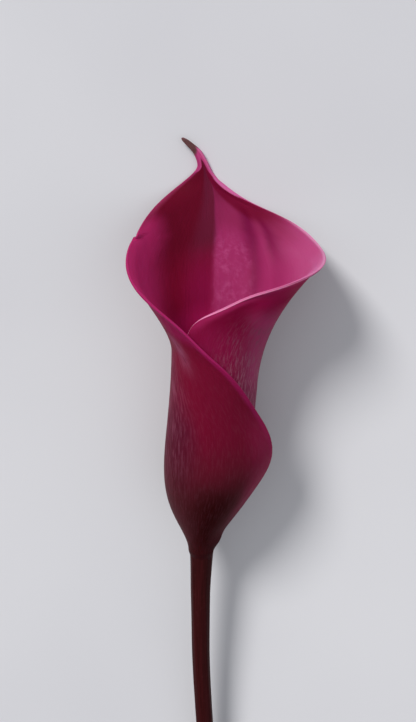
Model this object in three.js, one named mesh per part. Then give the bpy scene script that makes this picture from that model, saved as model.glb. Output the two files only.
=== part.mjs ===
// A single calla lily flower, cut with a short stem and lying on its back.
// One spathe is rolled into a funnel round a spadix, and both sit on the end of the stem.
// Units are millimetres. In the flower's own frame +Y runs from the stem to the tip, +Z is the front of the
// bloom and +X its right. That frame's origin is the spathe's seat on the stem, and the group lays it down.
import * as THREE from 'three';

// Stem, from its cut end up to the plug that holds the spathe and the spadix
const STEM_LENGTH = 120;
const STEM_RADIUS = 2.5;
const STEM_TOP_FLARE = 0.95;
const STEM_FLARE_LENGTH = 14;
const STEM_BOW = { left: 0.3, leftEnd: 15, right: 2.6, rightStart: 28, rightEnd: 88 };
const STEM_SIDES = 20;
const STEM_STEPS = 24;
const PLUG_RADIUS = 1.65;
const PLUG_HEIGHT = 2.5;
const SEAT_CLEARANCE = 0.3;

// The table: a plane under the stem's cut end and under a flat spot on the spathe's back
const REST_HEIGHT = 99;
const REST_DROP = 21.2;
const PRESSED_WALL = 0.65;

// Spathe: the tube that its lower part makes
const NECK_RADIUS = 3;
const TUBE_RADIUS = 11.8;
const SHOULDER_LENGTH = 13.4;
const SHOULDER_POWER = 1.7;
const WRAP = { offset: 1.1, neckShare: 0.6, fullHeight: 15, from: -200, to: 200 };
const AXIS_SHIFT = { shift: 4.6, full: 60 };

// Spathe: its mouth. Turn is the angle round the flower's axis from the back, through the left, in degrees.
// Spread is how far the wall has opened at MOUTH_HEIGHT, start is the height where it begins to open, and
// roundness above 0 turns the wall up again towards its rim.
const MOUTH_HEIGHT = 87;
const MOUTH = [
  { turn: -270, spread: 0, start: 52, power: 1.6, roundness: 0 },
  { turn: -200, spread: 0.3, start: 52, power: 1.7, roundness: 0 },
  { turn: -170, spread: 1.6, start: 52, power: 1.8, roundness: 0 },
  { turn: -140, spread: 7, start: 51, power: 1.9, roundness: 0 },
  { turn: -110, spread: 18.8, start: 50, power: 2, roundness: 0 },
  { turn: -90, spread: 20, start: 49, power: 2, roundness: 0 },
  { turn: -45, spread: 10.8, start: 49, power: 1.8, roundness: 0.2 },
  { turn: -22, spread: 7.4, start: 50, power: 1.6, roundness: 0.5 },
  { turn: 0, spread: 7, start: 50, power: 1.5, roundness: 0.65 },
  { turn: 45, spread: 8.6, start: 54, power: 1.4, roundness: 0.6 },
  { turn: 90, spread: 12.2, start: 59, power: 1.75, roundness: 1.4 },
  { turn: 115, spread: 13.4, start: 59, power: 1.75, roundness: 1.4 },
  { turn: 145, spread: 7, start: 58, power: 1.6, roundness: 1.3 },
  { turn: 180, spread: 1.2, start: 57, power: 1.4, roundness: 0.8 },
  { turn: 270, spread: 0, start: 52, power: 1.6, roundness: 0 },
];

// Spathe: rows across the leaf from its base to its tip. Each gives the height of the midrib, then the turn
// and height of the outer margin on the left and of the inner margin on the right.
const ROWS = [
  { rib: 0, outerTurn: 236, outerHeight: 0, innerTurn: -150, innerHeight: 0 },
  { rib: 9, outerTurn: 255, outerHeight: 9, innerTurn: -205, innerHeight: 11 },
  { rib: 18, outerTurn: 263, outerHeight: 18, innerTurn: -235, innerHeight: 23 },
  { rib: 28, outerTurn: 260, outerHeight: 27.8, innerTurn: -250, innerHeight: 35 },
  { rib: 39, outerTurn: 250, outerHeight: 37.6, innerTurn: -252, innerHeight: 46 },
  { rib: 50, outerTurn: 226, outerHeight: 46, innerTurn: -244, innerHeight: 56 },
  { rib: 60, outerTurn: 195, outerHeight: 54.7, innerTurn: -229, innerHeight: 65 },
  { rib: 69.5, outerTurn: 164, outerHeight: 61.4, innerTurn: -204, innerHeight: 70.1 },
  { rib: 78, outerTurn: 137, outerHeight: 68.4, innerTurn: -168, innerHeight: 73.6 },
  { rib: 84.5, outerTurn: 113, outerHeight: 76.4, innerTurn: -131, innerHeight: 78.2 },
  { rib: 89, outerTurn: 89, outerHeight: 85.6, innerTurn: -103.4, innerHeight: 82.9 },
  { rib: 93, outerTurn: 66, outerHeight: 92.2, innerTurn: -75.8, innerHeight: 87.1 },
  { rib: 97, outerTurn: 42, outerHeight: 98, innerTurn: -52.4, innerHeight: 92.6 },
  { rib: 101.5, outerTurn: 20, outerHeight: 103.1, innerTurn: -28, innerHeight: 98 },
  { rib: 105.5, outerTurn: 6.5, outerHeight: 106.9, innerTurn: -12, innerHeight: 103 },
  { rib: 110, outerTurn: 3.4, outerHeight: 110.5, innerTurn: -3.8, innerHeight: 108.5 },
  { rib: 118.5, outerTurn: 1.8, outerHeight: 118.5, innerTurn: -1.8, innerHeight: 118.5 },
];
const ROW_SAG = 1.4;
const SPATHE_ROWS = 46;
const SPATHE_COLUMNS = 40;

// Spathe: the lower outer corner, which stands off the tube
const FLAP = { lift: 4.8, turn: 268, turnWidth: 42, height: 29.8, heightWidth: 12 };

// Spathe: the crease along the midrib, the rolled margins, and the tip, which leans and curls to the left
const KEEL = { depth: 1.6, turnWidth: 12, start: 50, full: 95, fadeEnd: 114, fadeShare: 0.6 };
const LIP = { lift: 0.9, width: 2.5, fullRow: 10, outerFull: 0.125, hiddenBelow: 0.375, shownAbove: 0.475 };
const LEAN = { shift: -4.2, start: 88, full: 112 };
const CURL = { start: 107.5, radius: 8, turn: 50, left: 0.98, back: 0.1 };

// Spathe: how thick its wall is. The heights are in the flower's frame, and the other places are shares of
// the way from the base to the tip.
const WALL = { base: 0.8, body: 0.95, bodyFull: 0.25, tip: 1.6, tipStart: 0.88, tipFull: 0.963 };
const WALL_RIB = { thickness: 1.3, turnWidth: 9, startHeight: 40, fullHeight: 80 };
const WALL_RIM = { thickness: 0.7, sharpness: 6, fadeStart: 0.85, fadeEnd: 0.95 };
const WALL_END = { thickness: 1.1, start: 0.965, full: 0.99 };

// Spadix, and the florets that cover it in staggered rings
const SPADIX = { bottom: 2.8, top: 54, radius: 2.95, taper: 0.5 };
const SPADIX_FOOT = { share: 0.7, length: 4.3 };
const SPADIX_CAP = { length: 4, fullness: 0.96 };
const SPADIX_WAIST = { height: 16, depth: 0.35, length: 1.6 };
const FLORETS = { around: 14, rings: 46, relief: 0.42 };

const { lerp, smoothstep, degToRad, clamp } = THREE.MathUtils;

// A natural cubic spline through points with rising x, as a function of x.
function cubicSpline(xs, ys) {
  const last = xs.length - 1;
  const bend = new Array(last + 1).fill(0);
  const carry = new Array(last + 1).fill(0);
  for (let i = 1; i < last; i++) {
    const before = xs[i] - xs[i - 1];
    const after = xs[i + 1] - xs[i];
    const jump = 6 * ((ys[i + 1] - ys[i]) / after - (ys[i] - ys[i - 1]) / before);
    const pivot = 2 * (before + after) - before * carry[i - 1];
    carry[i] = after / pivot;
    bend[i] = (jump - before * bend[i - 1]) / pivot;
  }
  for (let i = last - 1; i > 0; i--) bend[i] -= carry[i] * bend[i + 1];
  return (x) => {
    const at = clamp(x, xs[0], xs[last]);
    let i = 0;
    while (i < last - 1 && at > xs[i + 1]) i++;
    const gap = xs[i + 1] - xs[i];
    const left = xs[i + 1] - at;
    const right = at - xs[i];
    const curved = (bend[i] * left ** 3 + bend[i + 1] * right ** 3) / (6 * gap);
    const fromLeft = (ys[i] / gap - (bend[i] * gap) / 6) * left;
    const fromRight = (ys[i + 1] / gap - (bend[i + 1] * gap) / 6) * right;
    return curved + fromLeft + fromRight;
  };
}

const pick = (list, key) => list.map((entry) => entry[key]);
const mouthCurve = (key) => cubicSpline(pick(MOUTH, 'turn'), pick(MOUTH, key));
const rowCurve = (key) => cubicSpline([...ROWS.keys()], pick(ROWS, key));

const mouth = {
  spread: mouthCurve('spread'),
  start: mouthCurve('start'),
  power: mouthCurve('power'),
  roundness: mouthCurve('roundness'),
};
const leaf = {
  rib: rowCurve('rib'),
  outerTurn: rowCurve('outerTurn'),
  outerHeight: rowCurve('outerHeight'),
  innerTurn: rowCurve('innerTurn'),
  innerHeight: rowCurve('innerHeight'),
};

// The table's slope against the flower's axis, and its place behind the axis at a height.
const TABLE_SLOPE = (REST_DROP - STEM_RADIUS) / (STEM_LENGTH + REST_HEIGHT);
const tableBehind = (height) => -STEM_RADIUS - (height + STEM_LENGTH) * TABLE_SLOPE;

// The radius of the closed tube, before it opens into the mouth.
function tubeRadius(height) {
  const grown = 1 - Math.exp(-((Math.max(height, 0) / SHOULDER_LENGTH) ** SHOULDER_POWER));
  return lerp(NECK_RADIUS, TUBE_RADIUS, grown);
}

function flareRadius(turn, height) {
  const start = mouth.start(turn);
  const opened = Math.max(height - start, 0) / (MOUTH_HEIGHT - start);
  return mouth.spread(turn) * opened ** mouth.power(turn) * (1 + mouth.roundness(turn) * (1 - opened));
}

// The wall winds outwards as it turns, so that the outer layer clears the inner one.
function wrapRadius(turn, height) {
  const wound = 2 * smoothstep(turn, WRAP.from, WRAP.to) - 1;
  return WRAP.offset * wound * lerp(WRAP.neckShare, 1, smoothstep(height, 0, WRAP.fullHeight));
}

function flapRadius(turn, height) {
  const across = (turn - FLAP.turn) / FLAP.turnWidth;
  const along = (height - FLAP.height) / FLAP.heightWidth;
  return FLAP.lift * Math.exp(-(across ** 2) - along ** 2);
}

function keelRadius(turn, height) {
  const grown = smoothstep(height, KEEL.start, KEEL.full);
  const faded = 1 - KEEL.fadeShare * smoothstep(height, KEEL.full, KEEL.fadeEnd);
  return KEEL.depth * Math.exp(-Math.abs(turn) / KEEL.turnWidth) * grown * faded;
}

// The middle of the wall, measured from the flower's axis.
function wallRadius(turn, height) {
  const rolled = tubeRadius(height) + wrapRadius(turn, height) + flareRadius(turn, height);
  return rolled + flapRadius(turn, height) + keelRadius(turn, height);
}

// The axis wanders to the right as the tube widens, and back to the left below the tip.
function axisOffset(height) {
  const wander = AXIS_SHIFT.shift * smoothstep(height, 0, AXIS_SHIFT.full);
  return wander + LEAN.shift * smoothstep(height, LEAN.start, LEAN.full);
}

// Bends what lies above the start of the curl round to the left, and straight on from there.
function curlTip(point) {
  const over = point.y - CURL.start;
  if (over <= 0) return point;
  const fullTurn = degToRad(CURL.turn);
  const angle = Math.min(over / CURL.radius, fullTurn);
  const straight = Math.max(over - CURL.radius * fullTurn, 0);
  const aside = CURL.radius * (1 - Math.cos(angle)) + straight * Math.sin(fullTurn);
  point.y = CURL.start + CURL.radius * Math.sin(angle) + straight * Math.cos(fullTurn);
  point.x -= CURL.left * aside;
  point.z -= CURL.back * aside;
  return point;
}

// The turn and height of a place on the leaf. Across runs from -1 at the inner margin to 1 at the outer
// one, and along runs from 0 at the base to 1 at the tip.
function leafPlace(across, along) {
  const row = along * (ROWS.length - 1);
  const marginTurn = across < 0 ? leaf.innerTurn(row) : leaf.outerTurn(row);
  const marginHeight = across < 0 ? leaf.innerHeight(row) : leaf.outerHeight(row);
  const share = Math.abs(across);
  return { turn: marginTurn * share, height: lerp(leaf.rib(row), marginHeight, share ** ROW_SAG) };
}

function leafPoint(across, along) {
  const { turn, height } = leafPlace(across, along);
  const radius = wallRadius(turn, height);
  const angle = degToRad(turn);
  const x = axisOffset(height) - radius * Math.sin(angle);
  return curlTip(new THREE.Vector3(x, height, -radius * Math.cos(angle)));
}

function leafNormal(across, along) {
  const step = 1e-3;
  const above = leafPoint(across, Math.min(along + step, 1));
  const below = leafPoint(across, Math.max(along - step, 0));
  const outwards = leafPoint(Math.min(across + step, 1), along);
  const inwards = leafPoint(Math.max(across - step, -1), along);
  return outwards.sub(inwards).cross(above.sub(below)).normalize();
}

// How far the wall is rolled outwards, over the last few millimetres before a margin that shows.
function lipLift(across, along) {
  const row = along * (ROWS.length - 1);
  const marginTurn = Math.abs(across < 0 ? leaf.innerTurn(row) : leaf.outerTurn(row));
  const halfRow = degToRad(marginTurn) * wallRadius(marginTurn, leaf.rib(row));
  const inset = (1 - Math.abs(across)) * halfRow;
  const rolled = Math.max(1 - inset / LIP.width, 0) ** 2;
  const innerShown = smoothstep(along, LIP.hiddenBelow, LIP.shownAbove);
  const shown = across < 0 ? innerShown : smoothstep(along, 0, LIP.outerFull);
  return LIP.lift * rolled * shown * smoothstep(halfRow, 0, LIP.fullRow);
}

function wallThickness(across, along) {
  const { turn, height } = leafPlace(across, along);
  const ribShare = Math.exp(-((turn / WALL_RIB.turnWidth) ** 2));
  const ribGrown = smoothstep(height, WALL_RIB.startHeight, WALL_RIB.fullHeight);
  const rib = (WALL_RIB.thickness - WALL.body) * ribShare * ribGrown;
  const body = lerp(WALL.base, WALL.body, smoothstep(along, 0, WALL.bodyFull)) + rib;
  const towardsTip = lerp(body, WALL.tip, smoothstep(along, WALL.tipStart, WALL.tipFull));
  const rimFaded = 1 - smoothstep(along, WALL_RIM.fadeStart, WALL_RIM.fadeEnd);
  const rimShare = Math.abs(across) ** WALL_RIM.sharpness * rimFaded;
  const towardsRim = lerp(towardsTip, WALL_RIM.thickness, rimShare);
  return lerp(towardsRim, WALL_END.thickness, smoothstep(along, WALL_END.start, WALL_END.full));
}

// A solid from its points and from triangles that name them.
function solidGeometry(points, faces) {
  const geometry = new THREE.BufferGeometry();
  geometry.setFromPoints(points);
  geometry.setIndex(faces);
  geometry.computeVertexNormals();
  return geometry;
}

// A solid sheet from an outside and an inside skin on the same grid, joined round their edge. Each cell is
// split along its shorter diagonal, alike on both skins.
function sheetGeometry(outside, inside) {
  const rows = outside.length;
  const columns = outside[0].length;
  const out = (i, j) => i * columns + j;
  const back = (i, j) => rows * columns + out(i, j);
  const faces = [];
  for (let i = 0; i < rows - 1; i++) {
    for (let j = 0; j < columns - 1; j++) {
      const rising = outside[i][j].distanceTo(outside[i + 1][j + 1]);
      const falling = outside[i][j + 1].distanceTo(outside[i + 1][j]);
      for (const skin of [out, back]) {
        const [a, b, c, d] = [skin(i, j), skin(i, j + 1), skin(i + 1, j + 1), skin(i + 1, j)];
        const split = rising <= falling ? [a, b, c, a, c, d] : [a, b, d, b, c, d];
        faces.push(...(skin === out ? split : split.reverse()));
      }
    }
  }
  const edge = (a, b, c, d) => faces.push(a, c, b, b, c, d);
  const top = rows - 1;
  const side = columns - 1;
  for (let j = 0; j < side; j++) {
    edge(out(0, j), out(0, j + 1), back(0, j), back(0, j + 1));
    edge(out(top, j + 1), out(top, j), back(top, j + 1), back(top, j));
  }
  for (let i = 0; i < top; i++) {
    edge(out(i + 1, 0), out(i, 0), back(i + 1, 0), back(i, 0));
    edge(out(i, side), out(i + 1, side), back(i, side), back(i + 1, side));
  }
  return solidGeometry([...outside.flat(), ...inside.flat()], faces);
}

// A solid through rings of points, with a flat fan over each end. Its cells are split by turns one way and
// the other.
function ringGeometry(rings) {
  const sides = rings[0].length;
  const top = rings.length - 1;
  const points = rings.flat();
  const at = (i, j) => i * sides + (j % sides);
  const faces = [];
  for (let i = 0; i < top; i++) {
    for (let j = 0; j < sides; j++) {
      const [a, b, c, d] = [at(i, j), at(i + 1, j), at(i + 1, j + 1), at(i, j + 1)];
      faces.push(...((i + j) % 2 ? [a, b, c, a, c, d] : [a, b, d, b, c, d]));
    }
  }
  for (const end of [0, top]) {
    const middle = points.length;
    const sum = rings[end].reduce((total, point) => total.add(point), new THREE.Vector3());
    points.push(sum.divideScalar(sides));
    for (let j = 0; j < sides; j++) {
      faces.push(...(end ? [middle, at(end, j + 1), at(end, j)] : [middle, at(end, j), at(end, j + 1)]));
    }
  }
  return solidGeometry(points, faces);
}

// A level ring of points round a centre.
function levelRing(centre, sides, radiusAt) {
  return Array.from({ length: sides }, (_, j) => {
    const angle = (j / sides) * 2 * Math.PI;
    const arm = new THREE.Vector3(Math.cos(angle), 0, Math.sin(angle));
    return arm.multiplyScalar(radiusAt(j)).add(centre);
  });
}

// The wall is never pressed below the table, and keeps a thinner wall over the spot where it rests.
function spatheGeometry() {
  const outside = [];
  const inside = [];
  for (let i = 0; i <= SPATHE_ROWS; i++) {
    const along = i / SPATHE_ROWS;
    outside.push([]);
    inside.push([]);
    for (let j = 0; j <= SPATHE_COLUMNS; j++) {
      const across = Math.sin((j / SPATHE_COLUMNS - 0.5) * Math.PI);
      const normal = leafNormal(across, along);
      const halfWall = wallThickness(across, along) / 2;
      const middle = leafPoint(across, along).addScaledVector(normal, lipLift(across, along));
      const outer = middle.clone().addScaledVector(normal, halfWall);
      const inner = middle.clone().addScaledVector(normal, -halfWall);
      outer.z = Math.max(outer.z, tableBehind(outer.y));
      inner.z = Math.max(inner.z, tableBehind(inner.y) + PRESSED_WALL);
      outside[i].push(outer);
      inside[i].push(inner);
    }
  }
  return sheetGeometry(outside, inside);
}

// The stem's middle: nearly straight below the spathe, then easing over to the right.
function stemCentre(y) {
  const left = STEM_BOW.left * smoothstep(-y, 0, STEM_BOW.leftEnd);
  const right = STEM_BOW.right * smoothstep(-y, STEM_BOW.rightStart, STEM_BOW.rightEnd);
  return new THREE.Vector3(right - left, y, 0);
}

function stemGeometry() {
  const rings = [];
  for (let i = 0; i <= STEM_STEPS; i++) {
    const y = lerp(-STEM_LENGTH, -SEAT_CLEARANCE, i / STEM_STEPS);
    const radius = STEM_RADIUS + STEM_TOP_FLARE * Math.exp(y / STEM_FLARE_LENGTH);
    rings.push(levelRing(stemCentre(y), STEM_SIDES, () => radius));
  }
  for (const y of [-SEAT_CLEARANCE, PLUG_HEIGHT]) {
    rings.push(levelRing(stemCentre(y), STEM_SIDES, () => PLUG_RADIUS));
  }
  return ringGeometry(rings);
}

// The spadix between its florets: a narrow foot, a waist above the lowest florets and a rounded top.
function spadixRadius(y) {
  const share = (y - SPADIX.bottom) / (SPADIX.top - SPADIX.bottom);
  const foot = lerp(SPADIX_FOOT.share, 1, smoothstep(y - SPADIX.bottom, 0, SPADIX_FOOT.length));
  const intoCap = Math.max(1 - (SPADIX.top - y) / SPADIX_CAP.length, 0);
  const cap = Math.sqrt(1 - SPADIX_CAP.fullness * intoCap ** 2);
  const waist = SPADIX_WAIST.depth * Math.exp(-(((y - SPADIX_WAIST.height) / SPADIX_WAIST.length) ** 2));
  return (SPADIX.radius - SPADIX.taper * share - waist) * foot * cap;
}

// Every second point of a ring is the top of a floret, and the rings take turns.
function spadixGeometry() {
  const rings = [];
  for (let i = 0; i <= FLORETS.rings; i++) {
    const y = lerp(SPADIX.bottom, SPADIX.top, i / FLORETS.rings);
    const relief = i === 0 || i === FLORETS.rings ? 0 : FLORETS.relief;
    const centre = new THREE.Vector3(axisOffset(y), y, 0);
    rings.push(levelRing(centre, 2 * FLORETS.around, (j) => spadixRadius(y) + relief * ((i + j) % 2)));
  }
  return ringGeometry(rings);
}

function part(name, geometry, color, roughness) {
  const mesh = new THREE.Mesh(geometry, new THREE.MeshStandardMaterial({ color, roughness, metalness: 0 }));
  mesh.name = name;
  return mesh;
}

const flower = new THREE.Group();
flower.add(part('spathe', spatheGeometry(), 0x8a1548, 0.45));
flower.add(part('stem', stemGeometry(), 0x3a1418, 0.4));
flower.add(part('spadix', spadixGeometry(), 0xd9a441, 0.7));

// Lays the flower on its back, with the middle of the spot that it rests on at the origin.
const tilt = Math.atan(TABLE_SLOPE);
const restPoint = new THREE.Vector3(axisOffset(REST_HEIGHT), REST_HEIGHT, tableBehind(REST_HEIGHT));
flower.rotation.x = tilt;
flower.position.copy(restPoint.applyAxisAngle(new THREE.Vector3(1, 0, 0), tilt).negate());

const lying = new THREE.Group();
lying.add(flower);

export default lying;
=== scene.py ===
import math

import bpy
import numpy as np
from mathutils import Matrix, Vector

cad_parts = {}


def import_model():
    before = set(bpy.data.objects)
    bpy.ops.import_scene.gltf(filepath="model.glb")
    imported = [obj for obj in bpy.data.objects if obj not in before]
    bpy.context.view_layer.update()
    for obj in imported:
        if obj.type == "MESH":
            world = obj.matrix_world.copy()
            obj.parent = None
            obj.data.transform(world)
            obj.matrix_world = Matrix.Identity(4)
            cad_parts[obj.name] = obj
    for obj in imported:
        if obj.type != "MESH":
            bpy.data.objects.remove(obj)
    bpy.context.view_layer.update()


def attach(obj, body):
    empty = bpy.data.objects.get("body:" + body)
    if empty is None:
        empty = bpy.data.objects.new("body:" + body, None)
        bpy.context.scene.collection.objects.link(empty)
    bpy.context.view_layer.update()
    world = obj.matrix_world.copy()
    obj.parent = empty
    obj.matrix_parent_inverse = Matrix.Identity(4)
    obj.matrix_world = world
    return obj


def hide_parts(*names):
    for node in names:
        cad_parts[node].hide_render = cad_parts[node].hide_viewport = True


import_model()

# The camera of the photograph, in its pixels. One pixel is MM_PER_PIXEL at the distance of the flower's base.
PHOTO_WIDTH, PHOTO_HEIGHT = 416, 722
BASE_PIXEL_X, BASE_PIXEL_Y = 201.6, 548
MM_PER_PIXEL = 0.29
CAMERA_DISTANCE = 420
CAMERA_TILT = math.radians(9)
SENSOR_HEIGHT = 36

# The flower's own frame, in millimetres: +Y from stem to tip, +Z its front, +X its right
STEM_LENGTH = 120
STEM_RADIUS = 2.5
STEM_TOP_FLARE = 0.95
STEM_FLARE_LENGTH = 14
STEM_BOW = dict(left=0.3, left_end=15, right=2.6, right_start=28, right_end=88)
REST_HEIGHT = 99
REST_DROP = 21.2
PRESSED_WALL = 0.65
PRESS_SOFTNESS = 0.3

# Spathe: the tube, and the mouth by turn round the axis, as turn, spread, start, power and roundness
NECK_RADIUS = 3
TUBE_RADIUS = 11.8
SHOULDER_LENGTH = 13.4
SHOULDER_POWER = 1.7
WRAP = dict(offset=1.1, neck_share=0.6, full_height=15, turn=200)
AXIS_SHIFT = dict(shift=4.6, full=60)
MOUTH_HEIGHT = 87
MOUTH = [
    (-270, 0, 52, 1.6, 0),
    (-200, 0.3, 52, 1.7, 0),
    (-170, 1.6, 52, 1.8, 0),
    (-140, 7, 51, 1.9, 0),
    (-110, 18.8, 50, 2, 0),
    (-90, 20, 49, 2, 0),
    (-45, 10.8, 49, 1.8, 0.2),
    (-22, 7.4, 50, 1.6, 0.5),
    (0, 7, 50, 1.5, 0.65),
    (45, 8.6, 54, 1.4, 0.6),
    (90, 12.2, 59, 1.75, 1.4),
    (115, 13.4, 59, 1.75, 1.4),
    (145, 7, 58, 1.6, 1.3),
    (180, 1.2, 57, 1.4, 0.8),
    (270, 0, 52, 1.6, 0),
]

# Spathe: rows across the leaf, as the midrib's height, then turn and height of the outer and the inner margin
ROWS = [
    (0, 236, 0, -150, 0),
    (9, 255, 9, -205, 11),
    (18, 263, 18, -235, 23),
    (28, 260, 27.8, -250, 35),
    (39, 250, 37.6, -252, 46),
    (50, 226, 46, -244, 56),
    (60, 195, 54.7, -229, 65),
    (69.5, 164, 61.4, -204, 70.1),
    (78, 137, 68.4, -168, 73.6),
    (84.5, 113, 76.4, -131, 78.2),
    (89, 89, 85.6, -103.4, 82.9),
    (93, 66, 92.2, -75.8, 87.1),
    (97, 42, 98, -52.4, 92.6),
    (101.5, 20, 103.1, -28, 98),
    (105.5, 6.5, 106.9, -12, 103),
    (110, 3.4, 110.5, -3.8, 108.5),
    (118.5, 1.8, 118.5, -1.8, 118.5),
]
ROW_SAG = 1.4
FLAP = dict(lift=4.8, turn=268, turn_width=42, height=29.8, height_width=12)
KEEL = dict(depth=1.6, turn_width=12, start=50, full=95, fade_end=114, fade_share=0.6)
LEAN = dict(shift=-4.2, start=88, full=112)
CURL = dict(start=107.5, radius=8, turn=50, left=0.98, back=0.1)
WALL = dict(base=0.8, body=0.95, rib=1.3, rib_width=9, rim=0.7, tip=1.6, end=1.1)
HORN = dict(start=0.95, full=0.97, width=1.1, end=0.985, blunt=0.98, thickness=1.15)

# Where the wall's thickness changes, as start and length: by height at the midrib, and else by share along
WALL_BODY = (0, 1 / 4)
WALL_RIB = (40, 40)
WALL_TIP = (0.88, 1 / 12)
WALL_END = (0.965, 1 / 40)
WALL_RIM_ENDS = (0.85, 1 / 10)
WALL_RIM_POWER = 6

# Spathe: what only the fine surface has. A place on the leaf is across, from -1 at the inner margin to 1 at
# the outer one, and along, from 0 at the base to 1 at the tip.
SPATHE_ROWS = 236
SPATHE_COLUMNS = 144
COLUMN_CROWDING = 0.55
RIM_STEPS = 5
RIM_BULGE = 0.6
RIM_INSIDE = (0.3, 0.7)
KEEL_ROUND = 1.4
BEAD = dict(lift=0.25, width=1.7)
FLARE = dict(lift=0.9, width=8, low_lift=0.5, low_width=4, start=0.5, full=0.58)
SHOWN = dict(inner=0.375, inner_full=0.475, outer_full=0.125, full_row=10, side=0.1, side_full=0.5)
TIP_LIP = dict(rise=0.3, slope_width=4, crest=2.2, drop=0.4,
               along=0.835, along_width=0.065, across=-0.4, full_row=3)
FOOT_LIP = dict(lift=0.9, turn=246, turn_width=22, height=3.2, height_width=2.4)
NICK = dict(along=0.662, along_width=0.003, depth=0.02, margin_power=24, step=0.0015, recovered=0.03)
VEINS = dict(depth=0.018, every=9, sway=0.6, sway_turn=7, start=6, full=30, margin=4)
COLLAR = dict(rows=8, depth=2.6, sink=0.06)
STEM_TOP = dict(end=-0.5, narrow_from=-2, radius=2.4)

# Lines on the leaf, as along and across: the midrib, and two soft folds on the right of the bloom
MIDRIB = [(0.4, 0.03), (0.6, 0.02), (0.68, 0.005), (0.74, -0.025), (0.79, -0.085), (0.83, -0.15),
          (0.9, -0.28)]
FOLD_1 = dict(
    line=[(0.45, -0.2), (0.49, -0.213), (0.57, -0.247), (0.65, -0.295), (0.74, -0.413), (0.8, -0.52)],
    width=0.068, depth=0.9, start=0.43, full=0.54, fade=0.7, end=0.78)
FOLD_2 = dict(
    line=[(0.5, -0.355), (0.55, -0.372), (0.588, -0.38), (0.632, -0.412), (0.676, -0.472), (0.72, -0.54)],
    width=0.032, depth=0.35, start=0.5, full=0.6, fade=0.68, end=0.74)

# Stem and spadix
STEM_SIDES = 56
STEM_STEPS = 260
STEM_FLUTES = dict(depth=0.045, count=9, drift=0.012)
CUT_ROUNDING = 0.3
CUT_HOLLOW = 0.35
CUT_RINGS = (0.02, 0.35, 0.7, 0.9)
CUT_EDGE_ANGLES = (0, 30, 60)
CLOSED_RADIUS = 0.02
SPADIX = dict(bottom=2.8, top=54, radius=2.95, taper=0.5, foot_share=0.7, foot_length=1 / 12, cap=4,
              blunt=0.98)
SPADIX_WAIST = dict(height=16, depth=0.35, length=1.6)
FLORETS = dict(around=14, rings=46, relief=0.5, sides=12, steps=9)
FLORET = dict(across=1.25, along=0.95, radius=0.72, dimple=0.3, dimple_radius=0.14, uneven=0.12)
BARE_ENDS = dict(rings=0.2, length=1.2)
SHUFFLE = (12.9898, 78.233)  # makes the florets' sizes look random, and the same in each run

# Stage: the board's reach in metres, and the light
FLOOR_REACH = 6
SKY_STRENGTH = 0.55
LIGHTS = [
    dict(name="key", direction=(-0.36, 0.46, 0.46), strength=2.75, angle=20, colour=(1, 0.985, 0.965)),
    dict(name="fill", direction=(0.5, -0.2, 0.7), strength=0.25, angle=60, colour=(0.94, 0.96, 1)),
]

MM = 0.001


def smooth(x):
    x = np.clip(x, 0, 1)
    return x * x * (3 - 2 * x)


def lerp(a, b, t):
    return a + (b - a) * t


def bell(x):
    return np.exp(-(x ** 2))


def between(x, low, high):
    """0 below low and 1 above high, eased between; the other way round if low is above high."""
    return smooth((x - low) / (high - low))


def eased(x, span):
    """0 before a span's start and 1 after its length, eased between."""
    start, length = span
    return smooth((x - start) / length)


def cubic_spline(xs, ys):
    """A natural cubic spline through points with rising x, as a function of x."""
    xs, ys = np.array(xs, float), np.array(ys, float)
    gap = np.diff(xs)
    system = np.eye(len(xs))
    jumps = np.zeros(len(xs))
    for i in range(1, len(xs) - 1):
        system[i, i - 1:i + 2] = gap[i - 1], 2 * (gap[i - 1] + gap[i]), gap[i]
        jumps[i] = 6 * ((ys[i + 1] - ys[i]) / gap[i] - (ys[i] - ys[i - 1]) / gap[i - 1])
    bend = np.linalg.solve(system, jumps)

    def curve(x):
        x = np.clip(x, xs[0], xs[-1])
        i = np.clip(np.searchsorted(xs, x) - 1, 0, len(gap) - 1)
        left, right, h = xs[i + 1] - x, x - xs[i], gap[i]
        curved = (bend[i] * left ** 3 + bend[i + 1] * right ** 3) / (6 * h)
        from_left = (ys[i] / h - bend[i] * h / 6) * left
        return curved + from_left + (ys[i + 1] / h - bend[i + 1] * h / 6) * right

    return curve


mouth_turns = [entry[0] for entry in MOUTH]
mouth_spread, mouth_start, mouth_power, mouth_roundness = [
    cubic_spline(mouth_turns, [entry[k] for entry in MOUTH]) for k in range(1, 5)]
rib_height, outer_turn, outer_height, inner_turn, inner_height = [
    cubic_spline(range(len(ROWS)), [entry[k] for entry in ROWS]) for k in range(5)]

midrib_across = cubic_spline(*zip(*MIDRIB))

TABLE_SLOPE = (REST_DROP - STEM_RADIUS) / (STEM_LENGTH + REST_HEIGHT)


def table_behind(height):
    return -STEM_RADIUS - (height + STEM_LENGTH) * TABLE_SLOPE


def tube_radius(height):
    grown = 1 - np.exp(-((np.maximum(height, 0) / SHOULDER_LENGTH) ** SHOULDER_POWER))
    return lerp(NECK_RADIUS, TUBE_RADIUS, grown)


def flare_radius(turn, height):
    start = mouth_start(turn)
    opened = np.maximum(height - start, 0) / (MOUTH_HEIGHT - start)
    return mouth_spread(turn) * opened ** mouth_power(turn) * (1 + mouth_roundness(turn) * (1 - opened))


def wrap_radius(turn, height):
    wound = 2 * between(turn, -WRAP["turn"], WRAP["turn"]) - 1
    return WRAP["offset"] * wound * lerp(WRAP["neck_share"], 1, smooth(height / WRAP["full_height"]))


def mound(shape, turn, height):
    """A rounded rise of the wall round one turn and height."""
    across = (turn - shape["turn"]) / shape["turn_width"]
    along = (height - shape["height"]) / shape["height_width"]
    return shape["lift"] * bell(across) * bell(along)


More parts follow.
